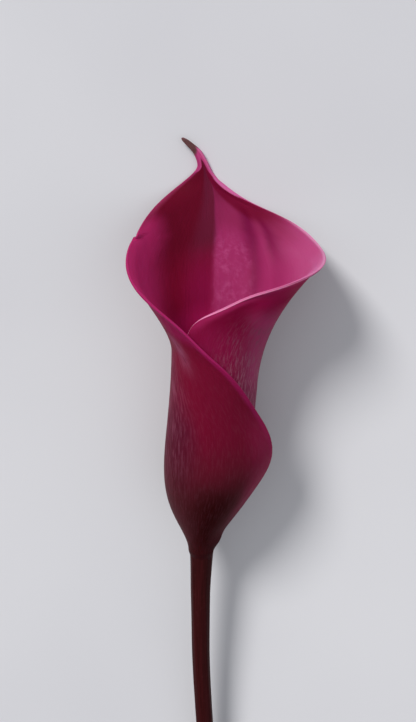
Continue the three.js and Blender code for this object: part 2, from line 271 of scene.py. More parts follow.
def keel_radius(past, height):
    """The crease, by how far a place lies past the midrib's line in degrees."""
    grown = between(height, KEEL["start"], KEEL["full"])
    faded = 1 - KEEL["fade_share"] * between(height, KEEL["full"], KEEL["fade_end"])
    apart = np.hypot(past, KEEL_ROUND) - KEEL_ROUND
    return KEEL["depth"] * np.exp(-apart / KEEL["turn_width"]) * grown * faded


def vein_radius(turn, height):
    grown = between(height, VEINS["start"], VEINS["full"])
    sway = VEINS["sway"] * np.sin(turn / VEINS["sway_turn"])
    return VEINS["depth"] * grown * np.sin(2 * np.pi * turn / VEINS["every"] + sway)


def wall_radius(turn, height):
    rolled = tube_radius(height) + wrap_radius(turn, height) + flare_radius(turn, height)
    return rolled + mound(FLAP, turn, height) + mound(FOOT_LIP, turn, height)


def axis_offset(height):
    wander = AXIS_SHIFT["shift"] * smooth(height / AXIS_SHIFT["full"])
    return wander + LEAN["shift"] * between(height, LEAN["start"], LEAN["full"])


def curl_tip(points):
    full_turn, radius = math.radians(CURL["turn"]), CURL["radius"]
    over = np.maximum(points[..., 1] - CURL["start"], 0)
    angle = np.minimum(over / radius, full_turn)
    straight = np.maximum(over - radius * full_turn, 0)
    aside = radius * (1 - np.cos(angle)) + straight * math.sin(full_turn)
    risen = CURL["start"] + radius * np.sin(angle) + straight * math.cos(full_turn)
    curled = points.copy()
    curled[..., 1] = np.where(over > 0, risen, points[..., 1])
    curled[..., 0] -= CURL["left"] * aside
    curled[..., 2] -= CURL["back"] * aside
    return curled


def margin(across, along):
    row = along * (len(ROWS) - 1)
    turn = np.where(across < 0, inner_turn(row), outer_turn(row))
    height = np.where(across < 0, inner_height(row), outer_height(row))
    return rib_height(row), turn, height


def nicked(across, along):
    cut = NICK["depth"] * np.exp(-np.abs(along - NICK["along"]) / NICK["along_width"])
    return across * (1 - cut * np.maximum(across, 0) ** NICK["margin_power"])


def horn_width(along):
    """The dried tip is wider than the solid's, and rounded off at its end."""
    wide = lerp(1, HORN["width"], between(along, HORN["start"], HORN["full"]))
    into_end = np.clip((along - HORN["end"]) / (1 - HORN["end"]), 0, HORN["blunt"])
    return wide * np.sqrt(1 - into_end ** 2)


def leaf_place(across, along):
    """The turn and height of a place on the leaf, by its share of the way to a margin and to the tip."""
    rib, turn, height = margin(across, along)
    share = np.abs(nicked(across, along))
    return turn * share * horn_width(along), lerp(rib, height, share ** ROW_SAG)


def past_midrib(across, along):
    """How far a place lies to the left of the midrib's line, in degrees."""
    row = along * (len(ROWS) - 1)
    half_turn = (outer_turn(row) - inner_turn(row)) / 2
    return (across - midrib_across(along)) * half_turn


def beside_fold(fold, across, along):
    """1 on the line of a fold, and 0 away from it."""
    line = np.interp(along, *zip(*fold["line"]))
    return bell((across - line) / fold["width"])


def fold_share(fold, across, along):
    reach = between(along, fold["start"], fold["full"]) * between(along, fold["end"], fold["fade"])
    return beside_fold(fold, across, along) * reach


def leaf_point(across, along):
    turn, height = leaf_place(across, along)
    inset, _ = margin_inset(across, along)
    relief = vein_radius(turn, height) * smooth(inset / VEINS["margin"])
    relief = relief + keel_radius(past_midrib(across, along), height)
    for fold in (FOLD_1, FOLD_2):
        relief = relief + fold["depth"] * fold_share(fold, across, along)
    radius, angle = wall_radius(turn, height) + relief, np.radians(turn)
    x = axis_offset(height) - radius * np.sin(angle)
    return curl_tip(np.stack([x, height, -radius * np.cos(angle)], -1))


def normals_of(surface, across, along):
    step = 1e-3
    rise = surface(across, np.minimum(along + step, 1)) - surface(across, np.maximum(along - step, 0))
    side = surface(np.minimum(across + step, 1), along) - surface(np.maximum(across - step, -1), along)
    normal = np.cross(side, rise)
    return normal / np.linalg.norm(normal, axis=-1, keepdims=True)


def margin_inset(across, along):
    """About how far a place lies from its margin, and the half width of its row."""
    rib, turn, _ = margin(across, along)
    half_row = np.radians(np.abs(turn)) * wall_radius(np.abs(turn), rib)
    return (1 - np.abs(across)) * half_row, half_row


def beside_tip(across, along):
    """1 at the right margin just below the tip, and 0 away from it."""
    return bell((along - TIP_LIP["along"]) / TIP_LIP["along_width"]) * between(across, 0, TIP_LIP["across"])


def pressed_by_nick(along):
    """1 just above the nick, and 0 below it and well above it."""
    past = along - NICK["along"]
    return between(past, -NICK["step"], NICK["step"]) * np.exp(-np.maximum(past, 0) / NICK["recovered"])


def lip_lift(across, along):
    """How far the wall is rolled or flared outwards near its margins."""
    inset, half_row = margin_inset(across, along)
    bead = BEAD["lift"] * np.maximum(1 - inset / BEAD["width"], 0) ** 2
    flared = between(along, FLARE["start"], FLARE["full"])
    width = lerp(FLARE["low_width"], FLARE["width"], flared)
    flare = lerp(FLARE["low_lift"], FLARE["lift"], flared) * np.maximum(1 - inset / width, 0) ** 2
    right = lerp(bead, flare, flared) * between(along, SHOWN["inner"], SHOWN["inner_full"])
    left = flare * between(along, 0, SHOWN["outer_full"]) * (1 - pressed_by_nick(along))
    plain = np.where(across < 0, right, left) * smooth(half_row / SHOWN["full_row"])
    plain = plain * between(np.abs(across), SHOWN["side"], SHOWN["side_full"])

    # Right of the tip the wall comes forward to a crest, and the margin bends back from it
    forward = -TIP_LIP["rise"] * smooth(1 - (inset - TIP_LIP["crest"]) / TIP_LIP["slope_width"])
    back = TIP_LIP["drop"] * np.maximum(1 - inset / TIP_LIP["crest"], 0)
    return lerp(plain, forward + back, beside_tip(across, along) * smooth(half_row / TIP_LIP["full_row"]))


def leaf_middle(across, along):
    lift = lip_lift(across, along)[..., None]
    return leaf_point(across, along) + normals_of(leaf_point, across, along) * lift


def wall_thickness(across, along):
    turn, height = leaf_place(across, along)
    rib = (WALL["rib"] - WALL["body"]) * bell(turn / WALL["rib_width"]) * eased(height, WALL_RIB)
    body = lerp(WALL["base"], WALL["body"], eased(along, WALL_BODY)) + rib
    towards_tip = lerp(body, WALL["tip"], eased(along, WALL_TIP))
    margin_share = np.abs(across) ** WALL_RIM_POWER * (1 - eased(along, WALL_RIM_ENDS))
    towards_margin = lerp(towards_tip, WALL["rim"], margin_share)
    towards_end = lerp(towards_margin, WALL["end"], eased(along, WALL_END))
    return towards_end * np.minimum(horn_width(along), HORN["thickness"])


def above_table(points, gap, softness=0):
    low = table_behind(points[..., 1]) + gap
    above = points[..., 2] - low
    lifted = points.copy()
    lifted[..., 2] = low + (above + np.hypot(above, softness)) / 2
    return lifted


# Lays the flower down as the CAD does: tilted onto its back, with the spot it rests on at the origin.
tilt = Matrix.Rotation(math.atan(TABLE_SLOPE), 4, "X")
rest_point = Vector((float(axis_offset(REST_HEIGHT)), REST_HEIGHT, table_behind(REST_HEIGHT)))
lay_down = Matrix.Scale(MM, 4) @ Matrix.Translation(-(tilt @ rest_point)) @ tilt


def add_piece(name, points, faces, node, material, attributes):
    """A smooth mesh from points in the flower's frame, with its named values at each point."""
    mesh = bpy.data.meshes.new(name)
    mesh.from_pydata(points.tolist(), [], faces)
    mesh.transform(lay_down)
    mesh.polygons.foreach_set("use_smooth", [True] * len(mesh.polygons))
    for key, values in attributes.items():
        layer = mesh.attributes.new(key, "FLOAT", "POINT")
        layer.data.foreach_set("value", np.asarray(values, np.float32).ravel())
    mesh.materials.append(material)
    mesh.update()
    piece = bpy.data.objects.new(name, mesh)
    bpy.context.scene.collection.objects.link(piece)
    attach(piece, "root")
    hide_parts(node)


def loop_faces(rings, sides):
    """Quads between closed loops of points that follow each other."""
    faces = []
    for i in range(rings - 1):
        low, high = i * sides, (i + 1) * sides
        for j in range(sides):
            k = (j + 1) % sides
            faces.append((low + j, low + k, high + k, high + j))
    return faces


def closed_faces(rings, sides):
    """The same, with one face over each end."""
    last = (rings - 1) * sides
    return loop_faces(rings, sides) + [tuple(range(sides))[::-1], tuple(range(last, last + sides))]


def linear(colour):
    """A linear colour from the usual six hex digits."""
    parts = [int(colour[i:i + 2], 16) / 255 for i in (0, 2, 4)]
    return [p / 12.92 if p <= 0.04045 else ((p + 0.055) / 1.055) ** 2.4 for p in parts] + [1]


class Material:
    """A node material, and short ways to add nodes to it."""

    def __init__(self, name):
        self.material = bpy.data.materials.new(name)
        self.material.use_nodes = True
        self.tree = self.material.node_tree
        self.shader = self.tree.nodes["Principled BSDF"]

    def node(self, kind, **settings):
        made = self.tree.nodes.new("ShaderNode" + kind)
        for key, value in settings.items():
            setattr(made, key, value)
        return made

    def wire(self, socket, value):
        if isinstance(value, bpy.types.NodeSocket):
            self.tree.links.new(value, socket)
        else:
            socket.default_value = value

    def value(self, name):
        return self.node("Attribute", attribute_name=name).outputs["Fac"]

    def math(self, operation, a, b, clamp=False):
        made = self.node("Math", operation=operation, use_clamp=clamp)
        self.wire(made.inputs[0], a)
        self.wire(made.inputs[1], b)
        return made.outputs[0]

    def vector(self, x, y, z):
        made = self.node("CombineXYZ")
        for socket, value in zip(made.inputs, (x, y, z)):
            self.wire(socket, value)
        return made.outputs[0]

    def scaled(self, x, by):
        return self.math("MULTIPLY", x, by)

    def times(self, *shares):
        product = shares[0]
        for share in shares[1:]:
            product = self.scaled(product, share)
        return product

    def noise(self, place, scale, detail, roughness):
        made = self.node("TexNoise", noise_dimensions="3D")
        self.wire(made.inputs["Vector"], place)
        self.wire(made.inputs["Scale"], scale)
        self.wire(made.inputs["Detail"], detail)
        self.wire(made.inputs["Roughness"], roughness)
        return made.outputs["Fac"]

    def band(self, x, low, high):
        """0 below low and 1 above high, eased between; the other way round if low is above high."""
        made = self.node("MapRange", interpolation_type="SMOOTHSTEP")
        self.wire(made.inputs["Value"], x)
        turned = low > high
        made.inputs["From Min"].default_value = min(low, high)
        made.inputs["From Max"].default_value = max(low, high)
        made.inputs["To Min"].default_value = 1 if turned else 0
        made.inputs["To Max"].default_value = 0 if turned else 1
        return made.outputs["Result"]

    def mix(self, share, a, b):
        made = self.node("Mix", data_type="RGBA")
        self.wire(made.inputs[0], share)
        self.wire(made.inputs[6], a)
        self.wire(made.inputs[7], b)
        return made.outputs[2]

    def over(self, colour, pigment, share, strength=1.0):
        """A colour with a share of a pigment laid over it."""
        return self.mix(self.scaled(share, strength), colour, linear(pigment))

    def soft(self, share):
        """0 where a share is 0 or 1, and 1 halfway."""
        return self.times(share, self.math("SUBTRACT", 1.0, share), 4)

    def bump(self, height, distance, strength, after=None):
        made = self.node("Bump")
        self.wire(made.inputs["Height"], height)
        made.inputs["Distance"].default_value = distance
        made.inputs["Strength"].default_value = strength
        if after is not None:
            self.wire(made.inputs["Normal"], after)
        return made.outputs["Normal"]

    def finish(self, **sockets):
        for key, value in sockets.items():
            self.wire(self.shader.inputs[key.replace("_", " ")], value)
        return self.material


# Lines of the paint, as along and across: the painted highlight along the crease on the tube's left, the
# wing's right flank painted lighter against its shade, and where the painted light on the left side of the
# inside begins
CREASE = [(0.34, 0.69), (0.37, 0.71), (0.4, 0.727), (0.42, 0.735), (0.45, 0.745)]
FLANK = [(0.32, -0.5), (0.38, -0.53), (0.42, -0.57), (0.47, -0.69), (0.51, -0.78), (0.55, -0.87)]
LIT_LINE = [(0.4, 0.43), (0.5, 0.47), (0.56, 0.53), (0.64, 0.58), (0.7, 0.74), (0.73, 0.9)]

# Lines of the paint, as across and along: where the pink of the neck and the shade under the lip begin
PINK_LINE = [(-1, 0.87), (-0.5, 0.877), (-0.4, 0.89), (-0.3, 0.91), (-0.2, 0.925), (-0.1, 0.935), (0.1, 0.94),
             (0.25, 0.937), (0.4, 0.922), (0.55, 0.907), (0.7, 0.893), (0.85, 0.875), (1, 0.86)]
SHADE_LINE = [(-0.95, 0.765), (-0.8, 0.745), (-0.65, 0.722), (-0.5, 0.715), (-0.4, 0.72), (-0.3, 0.76),
              (-0.15, 0.84), (0, 0.9)]

# The pale strip along the right margin below the tip, as along and width in mm
# The strip is the lip's pink and a painted highlight where the lip flares back into the light
STRIP = [(0.75, 0.3), (0.79, 0.9), (0.8, 1.3), (0.82, 2.3), (0.84, 2.9), (0.87, 2.4), (0.9, 1.4), (0.93, 1)]

# Straight lines of the paint, by their place across at one row and how it drifts along the leaf
PALE_LINE = dict(row=0.6, across=0.33, drift=3.2)
WING_RIM_LINE = dict(row=0.4, across=0.9, drift=-0.7)
LEFT_RIM_LINE = dict(row=0.36, across=0.985, drift=-0.5)

# Where a zone starts and where it is full, measured from its line
MIDRIB_EDGE = (0.035, -0.045)
LIT_EDGE = (-0.16, 0.2)
PALE_EDGE = (0, 0.3)
PALER_EDGE = (0.3, 0.6)
SHADE_EDGE = (-0.035, 0.03)
PINK_EDGE = (-0.004, 0.006)
STRIP_EDGE = (0.25, -0.25)
WING_RIM_EDGE = (0, 0.11)
LEFT_RIM_EDGE = (0, 0.08)
FLAP_BAND = (2.2, 0.6)

# Half widths of soft bands across the leaf. The flank's are towards the tube and towards the wing's margin.
CREASE_WIDTH = 0.05
FLANK_WIDTHS = (0.12, 0.07)
FOOT_DEEP = dict(across=0.74, width=0.14)

# The painted shade along the folds: its widths left and right of the fold's line, and its strength. Where
# there are two values, the first is below the rise and the second above it.
FOLD_SHADES = [
    dict(fold=FOLD_1, left=(0.032, 0.066), right=0.052, strength=(1, 1), rise=(0.52, 0.62)),
    dict(fold=FOLD_2, left=(0.03, 0.03), right=0.085, strength=(0.35, 0.95), rise=(0.5, 0.62)),
]
FOLDS_START = (0.38, 0.5)
FOLDS_DEEPEN = (0.54, 0.64)
FOLDS_LOW = 0.78

# Zones of the paint inside and outside. Each is 0 at the first value of a pair and 1 at the second. A pair
# with "end" in its name bounds the zone's other end.
FACE_ZONES = {
    "plum": dict(across=(0.3, 0.12), along=(0.46, 0.56)),
    # Painted light: lighter paint low on the left wall, lifting the shade it lies in
    "deep": dict(across=(0.75, 0.5), along=(0.62, 0.46)),
    "low": dict(across=(0.34, 0.1), along=(0.6, 0.46)),
    # Painted light: lighter paint low in the cup, against the shade that gathers there
    "cup_light": dict(along=(0.45, 0.4)),
    "lit": dict(along=(0.745, 0.665)),
    # Painted light: lighter paint by the left margin, where its own rim shades the wall
    "rim": dict(across=(0.86, 1), along=(0.66, 0.74)),
    "high": dict(along=(0.6, 0.7)),
    "dusk": dict(across=(-0.5, -0.2), along=(0.73, 0.86)),
    "shade": dict(across=(-0.05, -0.2)),
    # The lip's pink with a painted highlight below the tip
    "strip": dict(along=(0.76, 0.8)),
    # Paler patches: partly mottling of the leaf and partly painted light against the shade beside fold 1
    "patchy_and_lit": dict(across=(-0.26, -0.19), along=(0.68, 0.56)),
    # Painted highlight: pale pink at the right corner of the mouth, where the thin margin catches the light
    "corner": dict(across=(-0.9, -0.99), along=(0.6, 0.66), along_end=(0.77, 0.72)),
}
BACK_ZONES = {
    "tube_right": dict(across=(0.72, 0.88)),
    "tube_plum": dict(across=(0.68, 0.5)),
    "tube_low": dict(across=(0.7, 0.52), across_end=(0.2, 0.4), along=(0.32, 0.24)),
    "wing_plum": dict(across=(-0.7, -0.5), along=(0.48, 0.34)),
    "wing_dusk": dict(across=(-0.5, -0.66), along=(0.36, 0.44), along_end=(0.545, 0.485)),
    "wing_rim": dict(along=(0.35, 0.42)),
    "wing_flecks": dict(across=(-0.86, -0.58), along=(0.49, 0.38)),
    "left_rim": dict(along=(0.34, 0.44)),
    "left_wall": dict(across=(0.7, 0.82), along=(0.43, 0.47), along_end=(0.64, 0.54)),
    # Painted light: the wing's right flank painted lighter, where the light from the left leaves it in shade
    "lit_flank": dict(along=(0.27, 0.33), along_end=(0.5, 0.42)),
    "flank_top": dict(along=(0.42, 0.5), along_end=(0.68, 0.58)),
    # Painted highlight along the crease on the tube's left shoulder
    "crease": dict(along=(0.34, 0.42), along_end=(0.46, 0.43)),
    "foot": dict(along=(0.26, 0.1)),
    "foot_deep": dict(along=(0.18, 0.105)),
    # Painted light: the foot's right flank painted lighter, against the shade it lies in
    "foot_right_light": dict(across=(0.84, 0.97), along=(0.32, 0.22), along_end=(0.04, 0.14)),
    # Painted light: the outside of the neck in pink, lightening its shaded outer edge beside the tip
    "neck": dict(along=(0.84, 0.9)),
    "sole": dict(along=(0.045, 0)),
}

# The paint on each zone, in the order in which it is laid on, as colour and strength, some of it painted
# light and shade
FACE_PAINT = [
    ("plum", "6A1A36", 0.95), ("deep", "820C30", 1), ("low", "880F42", 1), ("cup_light", "AC1A5C", 0.6),
    ("lit", "BC2C6C", 1), ("rim", "983058", 0.8), ("right", "9C2A61", 1), ("high", "8E2553", 0.9),
    ("dusk", "761A3C", 1), ("pale", "A64272", 1), ("paler", "B25A88", 1), ("fold", "780E42", 0.95),
    ("shade", "740A30", 1), ("pink", "C44884", 1),
]
BACK_PAINT = [
    ("tube_right", "6C0828", 1), ("wing", "7E0E3C", 1), ("tube_plum", "5E1E38", 0.5),
    ("wing_plum", "72324C", 0.6), ("wing_dusk", "6A0628", 0.7), ("wing_rim", "9C2256", 1),
    ("left_rim", "8C164C", 1), ("flap_band", "90124E", 0.85), ("left_wall", "8A0E48", 0.8),
    ("lit_flank", "9E3462", 0.8), ("flank_top", "9A1048", 0.65), ("crease", "8A4260", 0.75),
    ("tube_low", "480820", 0.8), ("foot", "44141B", 1), ("foot_deep", "2E0606", 0.95),
    ("foot_right_light", "8E1C48", 0.6), ("neck", "B44480", 1), ("sole", "310B0D", 1),
]


def line_at(line, x):
    return np.interp(x, *zip(*line))


def straight_at(line, along):
    return line["across"] + line["drift"] * (along - line["row"])


def past(x, line, edge):
    """0 before a line and 1 past it, eased over its edge."""
    return between(x, line + edge[0], line + edge[1])


def zone_shares(zones, across, along):
    """How much of each zone lies at places on the leaf."""
    places = dict(across=across, across_end=across, along=along, along_end=along)
    shares = {}
    for name, limits in zones.items():
        shares[name] = np.ones_like(across)
        for key, (start, full) in limits.items():
            shares[name] *= between(places[key], start, full)
    return shares


def fold_shade(shade, across, along):
    apart = across - line_at(shade["fold"]["line"], along)
    risen = between(along, *shade["rise"])
    width = np.where(apart > 0, lerp(*shade["left"], risen), shade["right"])
    return bell(apart / width) * lerp(*shade["strength"], risen)


def face_zones(across, along, edge):
    """How much of each zone lies at places on the inside of the leaf."""
    zones = zone_shares(FACE_ZONES, across, along)
    # The magenta right of the midrib; the darker crimson left of it is partly the leaf's own colour and
    # partly painted shade
    right = past(across, midrib_across(along), MIDRIB_EDGE)
    pale_from = straight_at(PALE_LINE, np.maximum(along, PALE_LINE["row"]))
    # The folds' painted shade, darkening their grooves on top of what their relief shades
    painted_fold_shade = np.maximum(*[fold_shade(shade, across, along) for shade in FOLD_SHADES])
    painted_fold_shade *= between(along, *FOLDS_START) * lerp(FOLDS_LOW, 1, between(along, *FOLDS_DEEPEN))
    for name in ("high", "dusk", "patchy_and_lit"):
        zones[name] *= right
    zones["patchy_and_lit"] *= 1 - painted_fold_shade
    zones["lit"] *= past(across, line_at(LIT_LINE, along), LIT_EDGE)
    zones["shade"] *= past(along, line_at(SHADE_LINE, across), SHADE_EDGE)
    zones["strip"] *= past(edge, line_at(STRIP, along), STRIP_EDGE) * (across < 0)
    zones["right"] = right
    zones["pale"] = past(-across, pale_from, PALE_EDGE) * right
    zones["paler"] = past(-across, pale_from, PALER_EDGE) * right
    zones["fold"] = painted_fold_shade
    zones["pink"] = past(along, line_at(PINK_LINE, across), PINK_EDGE)
    return zones


def back_zones(across, along, edge):
    """How much of each zone lies at places on the outside of the leaf."""
    zones = zone_shares(BACK_ZONES, across, along)
    wing, tube = across < 0, across > 0
    past_flank = across - line_at(FLANK, along)
    lit_flank = bell(past_flank / np.where(past_flank > 0, *FLANK_WIDTHS))
    zones["tube_plum"] *= tube
    zones["wing_plum"] *= wing
    zones["wing_flecks"] *= wing
    zones["wing_rim"] *= past(-across, straight_at(WING_RIM_LINE, along), WING_RIM_EDGE)
    zones["left_rim"] *= past(across, straight_at(LEFT_RIM_LINE, along), LEFT_RIM_EDGE)
    zones["lit_flank"] *= lit_flank
    zones["flank_top"] *= lit_flank
    zones["crease"] *= bell((across - line_at(CREASE, along)) / CREASE_WIDTH)
    zones["foot_deep"] *= bell((across - FOOT_DEEP["across"]) / FOOT_DEEP["width"])
    zones["wing"] = 1.0 * wing
    zones["flap_band"] = between(edge, *FLAP_BAND) * tube
    return zones


# Patterns in the skin: how fine they are across and along, and their detail and roughness
PATTERNS = dict(
    streaks=(40, 9, 4.0, 0.65),
    flecks=(112, 48, 4.0, 0.7),
    long_flecks=(96, 30, 4.0, 0.65),
    clouds=(9, 22, 4.0, 0.6),
    mottle=(24, 52, 3.0, 0.6),
    cells=(80, 130, 2.0, 0.6),
)
ZONE_WANDER = 0.35

# Where each pattern shows, from 0 at the first value of a pair to 1 at the second, and how strongly
PATCHES = dict(clouds=(0.35, 0.6), mottle=(0.38, 0.68), strength=0.5)
SOFT_PATCHES = dict(clouds=(0.45, 0.7), strength=0.25)
FACE_STREAKS = dict(streaks=(0.5, 0.8), strength=0.2)
BACK_STREAKS = dict(streaks=(0.55, 0.8), strength=0.25)
LIGHT_FLECKS = dict(long_flecks=(0.48, 0.62), along=(0.02, 0.34), strength=0.38)
DARK_FLECKS = dict(long_flecks=(0.47, 0.36), along=(0.06, 0.24), strength=0.8)
WING_FLECKS = dict(flecks=(0.46, 0.62), clouds=(0.25, 0.5), light_low=(0.4, 0.3), in_zone=0.9, elsewhere=0.05)

# The painted highlights along the margins' rims, by share of the rim from the outside in and by mm from the
# margin
RIM_SHOWN = (0.02, 0.26)
RIGHT_EDGE = dict(mm=(0.8, 0.1), across=(0, -0.1), strength=0.5, under=(0.55, 0.4), under_strength=0.6)
LEFT_EDGE = dict(mm=(0.5, 0.1), across=(0, 0.1), along=(0.36, 0.42), strength=0.5)

# The dried tip, and how the skin takes the light
DRIED = dict(along=(0.957, 0.967), slant=0.014, uneven=0.012, streaks=(0.35, 0.65), rougher=0.3)
ROUGHNESS = dict(least=0.44, clouds=0.16)
GLOSS = 0.07
MATT_GLOSS = 0.02
STREAK_RELIEF = dict(distance=0.00012, strength=0.7)
CELL_RELIEF = dict(distance=0.00003, strength=0.6)
SKIN_DEPTH = 0.0012


def spathe_material():
    m = Material("petal_skin")
    across, along = m.value("across"), m.value("along")
    inside, edge = m.value("inside"), m.value("edge")

    def pattern(name):
        fine_across, fine_along, detail, roughness = PATTERNS[name]
        place = m.vector(m.scaled(across, fine_across), m.scaled(along, fine_along), inside)
        return m.noise(place, 1.0, detail, roughness)

    streaks, clouds, long_flecks = pattern("streaks"), pattern("clouds"), pattern("long_flecks")
    wander = m.scaled(m.math("SUBTRACT", clouds, 0.5), ZONE_WANDER)

    def painted(colour, paint):
        for zone, pigment, strength in paint:
            share = m.value(zone)
            wandering = m.math("ADD", share, m.times(wander, m.soft(share)), clamp=True)
            colour = m.over(colour, pigment, wandering, strength)
        return colour

    # Inside: crimson left of the midrib and magenta right of it, with paler patches on the magenta
    # The split at the midrib is partly the leaf's own colours and partly painted shade on the left wall,
    # which faces away from the light
    face = painted(linear("680824"), FACE_PAINT)
    # Paler patches: mottling, and painted light where fold 1's relief shades the wall
    patches_and_light = m.times(
        m.value("patchy_and_lit"), m.band(clouds, *PATCHES["clouds"]), m.band(pattern("mottle"), *PATCHES["mottle"]),
        PATCHES["strength"])
    soft_patches = m.times(
        m.value("paler"), m.band(clouds, *SOFT_PATCHES["clouds"]), SOFT_PATCHES["strength"])
    face = m.over(face, "B85086", m.math("ADD", patches_and_light, soft_patches))
    face = m.over(face, "6E103A", m.band(streaks, *FACE_STREAKS["streaks"]), FACE_STREAKS["strength"])
    # A painted highlight of pale pink at the right corner of the mouth
    face = m.over(face, "DC9CC0", m.value("corner"), 0.6)
    # The pale strip: the lip's pink with a painted highlight
    lip_pink_and_highlight = m.mix(m.band(along, 0.92, 0.87), linear("C44884"), linear("C8649A"))
    face = m.mix(m.value("strip"), face, lip_pink_and_highlight)

    # Outside: crimson, with light and dark flecks on the tube and plum ones on the wing
    back = painted(linear("6C0828"), BACK_PAINT)
    on_tube = m.math("ADD", m.value("tube_plum"), m.value("crease"), clamp=True)
    for flecks, pigment in ((LIGHT_FLECKS, "8A4A62"), (DARK_FLECKS, "4A081E")):
        shown = m.times(on_tube, m.band(along, *flecks["along"]), m.band(long_flecks, *flecks["long_flecks"]))
        back = m.over(back, pigment, shown, flecks["strength"])
    in_zone = m.scaled(m.value("wing_flecks"), WING_FLECKS["in_zone"])
    on_wing = m.math("ADD", in_zone, WING_FLECKS["elsewhere"])
    wing_flecks = m.times(
        on_wing, m.band(pattern("flecks"), *WING_FLECKS["flecks"]), m.band(clouds, *WING_FLECKS["clouds"]))
    plum = m.mix(m.band(along, *WING_FLECKS["light_low"]), linear("7A3852"), linear("96586E"))
    back = m.mix(wing_flecks, back, plum)
    back = m.over(back, "560418", m.band(streaks, *BACK_STREAKS["streaks"]), BACK_STREAKS["strength"])

    # The painted highlights along the margins' rims where they show
    colour = m.mix(inside, back, face)
    on_rim = m.band(inside, *RIM_SHOWN)
    right_edge = m.times(on_rim, m.band(edge, *RIGHT_EDGE["mm"]), m.band(across, *RIGHT_EDGE["across"]))
    colour = m.over(colour, "D67CA8", right_edge, RIGHT_EDGE["strength"])
    # Painted light on the outer half of the right rim, which faces away from the light
    under = m.times(right_edge, m.band(inside, *RIGHT_EDGE["under"]))
    colour = m.over(colour, "E890B8", under, RIGHT_EDGE["under_strength"])
    left_edge = m.times(
        on_rim, m.band(edge, *LEFT_EDGE["mm"]), m.band(across, *LEFT_EDGE["across"]),
        m.band(along, *LEFT_EDGE["along"]))
    colour = m.over(colour, "8C2058", left_edge, LEFT_EDGE["strength"])

    # The dried tip, which begins on a slant and unevenly
    slant = m.math("ADD", along, m.scaled(across, DRIED["slant"]))
    uneven = m.scaled(m.math("SUBTRACT", streaks, 0.5), DRIED["uneven"])
    dried = m.band(m.math("ADD", slant, uneven), *DRIED["along"])
    brown = m.mix(m.band(streaks, *DRIED["streaks"]), linear("523536"), linear("704C4C"))
    colour = m.mix(dried, colour, brown)

    # Satin all over, and nearly matt where the outside is darkest
    roughness = m.math("ADD", ROUGHNESS["least"], m.scaled(clouds, ROUGHNESS["clouds"]))
    roughness = m.math("ADD", roughness, m.scaled(dried, DRIED["rougher"]), clamp=True)
    matt = m.math("ADD", m.value("foot_deep"), m.value("wing_dusk"), clamp=True)
    matt = m.times(matt, m.band(inside, 0.4, 0.1))
    gloss = m.math("SUBTRACT", GLOSS, m.scaled(matt, GLOSS - MATT_GLOSS))
    relief = m.bump(streaks, **STREAK_RELIEF, after=m.bump(pattern("cells"), **CELL_RELIEF))
    return m.finish(
        Base_Color=colour, Roughness=roughness, Normal=relief, IOR=1.4, Specular_IOR_Level=gloss,
        Sheen_Weight=0.02, Sheen_Roughness=0.4, Sheen_Tint=linear("D880A8"),
        Subsurface_Weight=0.4, Subsurface_Scale=SKIN_DEPTH, Subsurface_Radius=(1, 0.3, 0.5))


PITH_PORES = 2600


def stem_material():
    m = Material("stem_skin")
    turn, height, cut = m.value("turn"), m.value("height"), m.value("cut")
    streaks = m.noise(m.vector(m.scaled(turn, 0.16), m.scaled(height, 0.05), 0.0), 1.0, 4.0, 0.6)
    speckle = m.noise(m.vector(m.scaled(turn, 0.05), m.scaled(height, 0.6), 0.0), 1.0, 3.0, 0.6)
    skin = m.mix(m.band(streaks, 0.3, 0.7), linear("2A0909"), linear("3A0F12"))
    skin = m.over(skin, "54242A", m.band(speckle, 0.55, 0.8), 0.3)
    pores = m.node("TexVoronoi", feature="F1")
    m.wire(pores.inputs["Vector"], m.node("TexCoord").outputs["Object"])
    pores.inputs["Scale"].default_value = PITH_PORES
    pith = m.mix(m.band(pores.outputs["Distance"], 0.25, 0.6), linear("8C7A52"), linear("C2B68A"))
    colour = m.mix(cut, skin, pith)
    roughness = m.math("ADD", 0.36, m.scaled(streaks, 0.12))
    relief = m.bump(streaks, 0.00008, 0.7)
    return m.finish(
        Base_Color=colour, Roughness=roughness, Normal=relief, IOR=1.4, Specular_IOR_Level=0.06,
        Sheen_Weight=0.12, Sheen_Roughness=0.25, Sheen_Tint=linear("C87880"))


def spadix_material():
    m = Material("florets")
    height, crown = m.value("height"), m.value("crown")
    grain = m.noise(m.node("TexCoord").outputs["Object"], 1500.0, 3.0, 0.6)
    pollen = m.mix(m.band(grain, 0.3, 0.7), linear("B9822A"), linear("E2B64E"))
    ovary = m.mix(m.band(grain, 0.3, 0.7), linear("8E8A3C"), linear("C0BC6C"))
    body = m.mix(m.band(height, 15, 17), ovary, pollen)
    colour = m.mix(m.band(crown, 0.75, 0.05), body, linear("6A4218"))
    return m.finish(
        Base_Color=colour, Roughness=m.math("ADD", 0.6, m.scaled(grain, 0.25)),
        Normal=m.bump(grain, 0.00008, 0.8), Sheen_Weight=0.2, Sheen_Roughness=0.5)


def floor_material():
    m = Material("pale_board")
    place = m.node("TexCoord").outputs["Object"]
    cloud = m.noise(place, 5.0, 3.0, 0.5)
    grain = m.noise(place, 900.0, 2.0, 0.5)
    colour = m.mix(m.band(cloud, 0.3, 0.7), linear("CECED3"), linear("D8D8DC"))
    return m.finish(
        Base_Color=colour, Roughness=m.math("ADD", 0.5, m.scaled(cloud, 0.1)),
        Normal=m.bump(grain, 0.00002, 0.3))


def crowded_columns():
    """Shares across the leaf, closer together towards both margins, with one on the midrib."""
    even = np.linspace(-1, 1, SPATHE_COLUMNS + 1)
    return lerp(even, np.sin(even * math.pi / 2), COLUMN_CROWDING)


def stem_middle(y):
    left = STEM_BOW["left"] * smooth(-y / STEM_BOW["left_end"])
    return STEM_BOW["right"] * between(-y, STEM_BOW["right_start"], STEM_BOW["right_end"]) - left


